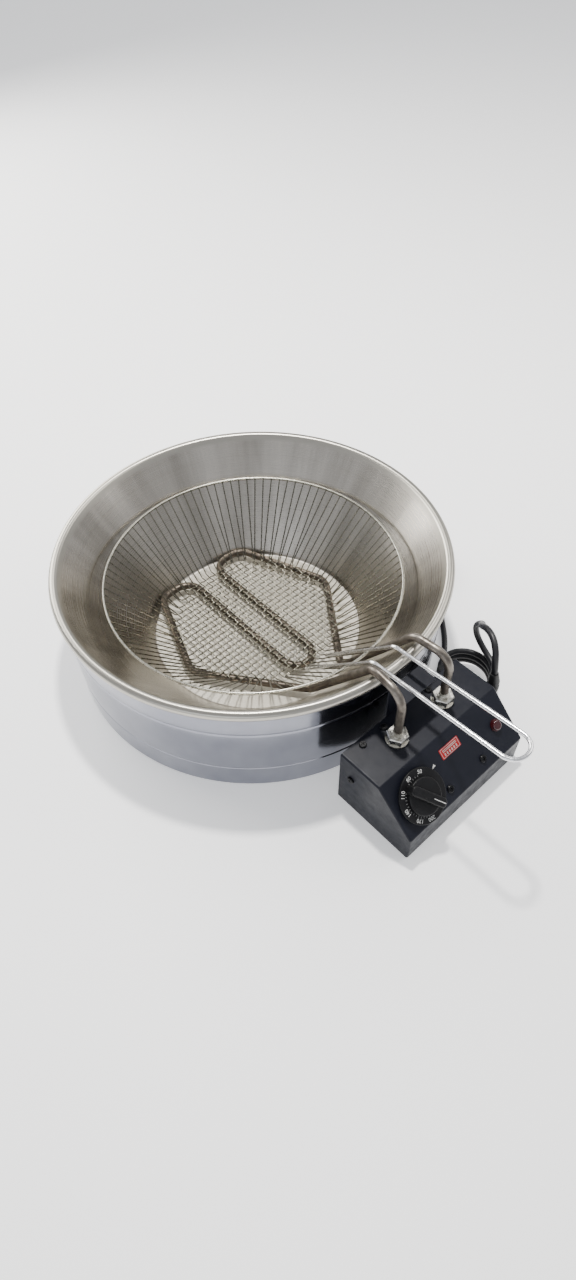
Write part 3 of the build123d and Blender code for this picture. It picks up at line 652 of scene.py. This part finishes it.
def make_basket():
    """Two woven wire families, the rim ring and the handle."""
    # One plated wire in three tones, as painted light and shade: darkest for the mesh down in the pan,
    # middle for the rim hoop, brightest for the handle up over the rim.
    wire = plated_wire("basket_wire", (0.15, 0.142, 0.112), 0.26)
    hoop = plated_wire("hoop_wire", (0.36, 0.35, 0.30), 0.3)
    bright = plated_wire("bright_wire", (0.86, 0.86, 0.87), 0.2)
    offsets, heads = mesh_ends()
    replaced = {"x": ["basket_base_wires_lower"], "y": ["basket_base_wires_upper", "basket_side_wires"]}
    for family, nodes in replaced.items():
        name = "basket_wires_along_" + family
        curve = wire_curve(name, MESH_WIRE, 2)
        for number in range(MESH_COUNT):
            add_wire(curve, mesh_wire(family, number, offsets, heads))
        link(name, curve, "basket", wire, "basket_side_wires", *nodes)

    rim = wire_curve("basket_rim_wire", RIM_WIRE, 4)
    circle = arc((AXIS_X, 0), BASKET_RIM_RADIUS, 0, 2 * math.pi, 240)[:-1]
    add_wire(rim, [(x, y, BASKET_RIM_Z) for x, y in circle], True)
    link("basket_rim_wire", rim, "basket", hoop, "basket_rim", "basket_rim")

    apart = (MESH_WIRE + HANDLE_WIRE + WELD_GAP) / math.sin(SIDE_SLOPE)

    def leg(side):
        y = HANDLE_Y + side * HANDLE_HALF
        points = []
        for z in (HANDLE_FOOT_Z, HANDLE_KNEE_Z):
            radius = BASKET_RADIUS + (z - LOWER_Z) / math.tan(SIDE_SLOPE) - apart
            points.append((AXIS_X + math.sqrt(radius ** 2 - y ** 2), y, z))
        return points + [(AXIS_X + HANDLE_REACH, HANDLE_Y + side * HANDLE_END_HALF, HANDLE_END_Z)]

    handle = wire_curve("basket_handle_wire", HANDLE_WIRE, 5)
    radii = [HANDLE_KNEE_BEND, HANDLE_END_BEND, HANDLE_END_BEND, HANDLE_KNEE_BEND]
    add_wire(handle, bent(leg(-1) + leg(1)[::-1], radii, 14))
    link("basket_handle_wire", handle, "basket", bright, "basket_handle", "basket_handle")


# --- Printed marks ---

def flat_shape(name, outline, body, material, slot, matrix, thickness=0.06):
    """A thin printed shape from an outline in millimetres."""
    mesh = bpy.data.meshes.new(name)
    count = len(outline)
    low = [(x * MM, y * MM, 0) for x, y in outline]
    high = [(x * MM, y * MM, thickness * MM) for x, y in outline]
    faces = [tuple(range(count))[::-1], tuple(range(count, 2 * count))]
    faces += [(k, (k + 1) % count, (k + 1) % count + count, k + count) for k in range(count)]
    mesh.from_pydata(low + high, [], faces)
    mesh.transform(matrix)
    return link(name, mesh, body, material, slot)


def bar(length, width):
    """Corners of a rectangle round the origin."""
    x, y = length / 2, width / 2
    return [(-x, -y), (x, -y), (x, y), (-x, y)]


def make_text(name, words, size, body, material, slot, matrix):
    curve = bpy.data.curves.new(name, "FONT")
    curve.body = words
    curve.size = size * MM
    curve.extrude = 0.03 * MM
    curve.align_x = "CENTER"
    curve.align_y = "CENTER"
    return link(name, curve, body, material, slot, place=matrix)


def make_knob_marks():
    """Numbers and ticks round the knob's skirt, a pointer on the grip and an index on the panel."""
    ink = print_ink("white_ink", (0.55, 0.55, 0.53))
    faint = print_ink("worn_ink", (0.24, 0.24, 0.24))

    def on_knob(angle, radius):
        turn = math.radians(angle)
        return (KNOB_AT[0] + radius * math.cos(turn), KNOB_AT[1] + radius * math.sin(turn)), turn

    numbers = (("50", 156), ("80", 192), ("110", 232), ("140", 276), ("170", 316), ("200", 350))
    for words, angle in numbers:
        place, turn = on_knob(angle, NUMBER_RADIUS)
        make_text("dial_number_" + words, words, 5.0, "thermostat_knob", ink, "knob",
                  panel_matrix(place, KNOB_SKIRT_TOP, turn - math.pi / 2))
    for number, angle in enumerate(range(165, 346, 9)):
        place, turn = on_knob(angle, TICK_RADIUS)
        flat_shape(f"dial_tick_{number}", bar(1.6, 0.35), "thermostat_knob", faint, "knob",
                   panel_matrix(place, KNOB_SKIRT_TOP, turn))
    place, turn = on_knob(POINTER_ANGLE, POINTER_RADIUS)
    flat_shape("dial_pointer", bar(13, 0.7), "thermostat_knob", ink, "knob",
               panel_matrix(place, KNOB_GRIP_TOP, turn))
    flat_shape("panel_index", [(-2.2, -1.4), (2.2, 0.0), (-2.2, 1.4)], "heater_unit", ink, "box_cover",
               panel_matrix(INDEX_AT, 0.02, math.radians(-65)))


def make_label_print():
    """White frame and plain bars in place of the label's words."""
    ink = print_ink("label_white", (0.36, 0.31, 0.295))
    frame_sides = [((side * 4.2, 0), (0.45, 22.4)) for side in (-1, 1)]
    frame_ends = [((0, side * 11.0), (8.8, 0.45)) for side in (-1, 1)]
    lines = [((-2.3, 0), (0.7, 18)), ((-0.9, 0), (0.7, 18))]
    blocks = [((1.9, -7.5 + 3 * step), (2.6, 1.5)) for step in range(6)]
    for number, (offset, size) in enumerate(frame_sides + frame_ends + lines + blocks):
        matrix = panel_matrix((LABEL_AT[0] + offset[0], LABEL_AT[1] + offset[1]), LABEL_TOP)
        flat_shape(f"label_bar_{number}", bar(*size), "heater_unit", ink, "label_plate", matrix, 0.05)


# --- Materials of the CAD nodes ---

def paint_nodes():
    """Give every CAD node that shows itself its material."""
    steel = metal("plain_steel", (0.55, 0.55, 0.54))
    brass = metal("brass", (0.72, 0.56, 0.28))
    copper = metal("copper", (0.70, 0.36, 0.20))
    plated = zinc()
    coat = powder_coat("box_coat", (0.0075, 0.0085, 0.0135), 0.38)
    black_screw = powder_coat("black_screw", (0.005, 0.005, 0.006), 0.3)
    moulded = plastic("black_moulded", (0.0045, 0.0045, 0.005), 0.4, Specular_IOR_Level=0.2)
    boot = plastic("boot_rubber", (0.013, 0.013, 0.014), 0.45, 1600.0, 0.3)
    ceramic = plastic("ceramic", (0.75, 0.72, 0.64), 0.6, 700.0, 0.3)
    label = plastic("label_red", (0.27, 0.008, 0.010), 0.5, Specular_IOR_Level=0.2)
    groups = {
        plated: ("element_fittings", "element_washers", "element_nuts", "element_lock_nuts", "earth_screw"),
        steel: ("thermostat_screws", "bulb_clip"),
        brass: ("element_terminals", "knob_shaft", "terminal_screws"),
        copper: ("capillary_tube", "sensing_bulb"),
        coat: ("box_cover", "box_base", "lifting_bracket"),
        black_screw: ("top_screws", "side_screws", "panel_screws", "bracket_screws"),
        moulded: ("knob", "pilot_lamp_body", "cord_gland", "gland_nut", "thermostat"),
        boot: ("strain_relief", "plug_body", "cord_tie"),
        ceramic: ("terminal_block",),
        plastic("nylon", (0.62, 0.60, 0.54), 0.45): ("pilot_lamp_nut",),
        label: ("label_plate",),
        lens_plastic(): ("pilot_lens",),
        plastic("brown_sleeve", (0.10, 0.05, 0.03), 0.5): ("supply_wires",),
        plastic("green_sleeve", (0.05, 0.20, 0.04), 0.5): ("earth_wire",),
        plastic("glass_sleeve", (0.60, 0.56, 0.45), 0.8, 900.0, 0.5): ("heater_wires",),
        metal("nickel_pins", (0.70, 0.68, 0.62), 0.25): ("plug_pins",),
    }
    for material, names in groups.items():
        for name in names:
            data = NODES[name].data
            if data.materials:
                data.materials[0] = material
            else:
                data.materials.append(material)


# --- Floor and light ---

def make_stage():
    """A wide pale floor just under the object."""
    mesh = bpy.data.meshes.new("floor")
    corners = [(x, y, -0.2 * MM) for x, y in bar(12.0, 12.0)]
    mesh.from_pydata(corners, [], [(0, 1, 2, 3)])
    floor = bpy.data.objects.new("floor", mesh)
    bpy.context.scene.collection.objects.link(floor)
    glow = {"Emission_Color": (1, 1, 1, 1), "Emission_Strength": 0.42}
    paint = Paint("pale_floor", (0.95, 0.95, 0.95), 0.0, 0.8, **glow)
    paint.bump(paint.noise(60.0, 3.0), 0.02, 0.0005)
    mesh.materials.append(paint.material)


def make_light(name, place, size, power, colour):
    """A rectangular lamp aimed at the object."""
    data = bpy.data.lights.new(name, "AREA")
    data.shape = "RECTANGLE"
    data.size, data.size_y = size
    data.energy = power
    data.color = colour
    light = bpy.data.objects.new(name, data)
    bpy.context.scene.collection.objects.link(light)
    way = Vector((0, 0, 0.05)) - Vector(place)
    turn = way.to_track_quat("-Z", "Y").to_matrix().to_4x4()
    light.matrix_world = Matrix.Translation(place) @ turn


def make_lights():
    """A pale room, a low window on the left, a small lamp overhead and two weak fills."""
    world = bpy.data.worlds.new("room")
    world.use_nodes = True
    room = world.node_tree.nodes["Background"]
    room.inputs["Color"].default_value = (0.93, 0.95, 1.0, 1)
    room.inputs["Strength"].default_value = 0.68
    bpy.context.scene.world = world
    make_light("window", (-1.8, -0.1, 0.85), (1.5, 0.9), 46, (1.0, 0.98, 0.94))
    make_light("lamp", (-0.30, 0.20, 1.5), (0.1, 0.1), 32, (1.0, 0.98, 0.95))
    make_light("back", (0.5, 1.6, 1.5), (1.4, 1.0), 16, (1.0, 0.97, 0.92))
    make_light("front", (1.0, -1.9, 0.9), (1.6, 0.8), 8, (0.86, 0.91, 1.0))


make_camera()
make_cord()
make_pan()
make_skirt()
make_element()
make_basket()
make_knob_marks()
make_label_print()
paint_nodes()
make_stage()
make_lights()
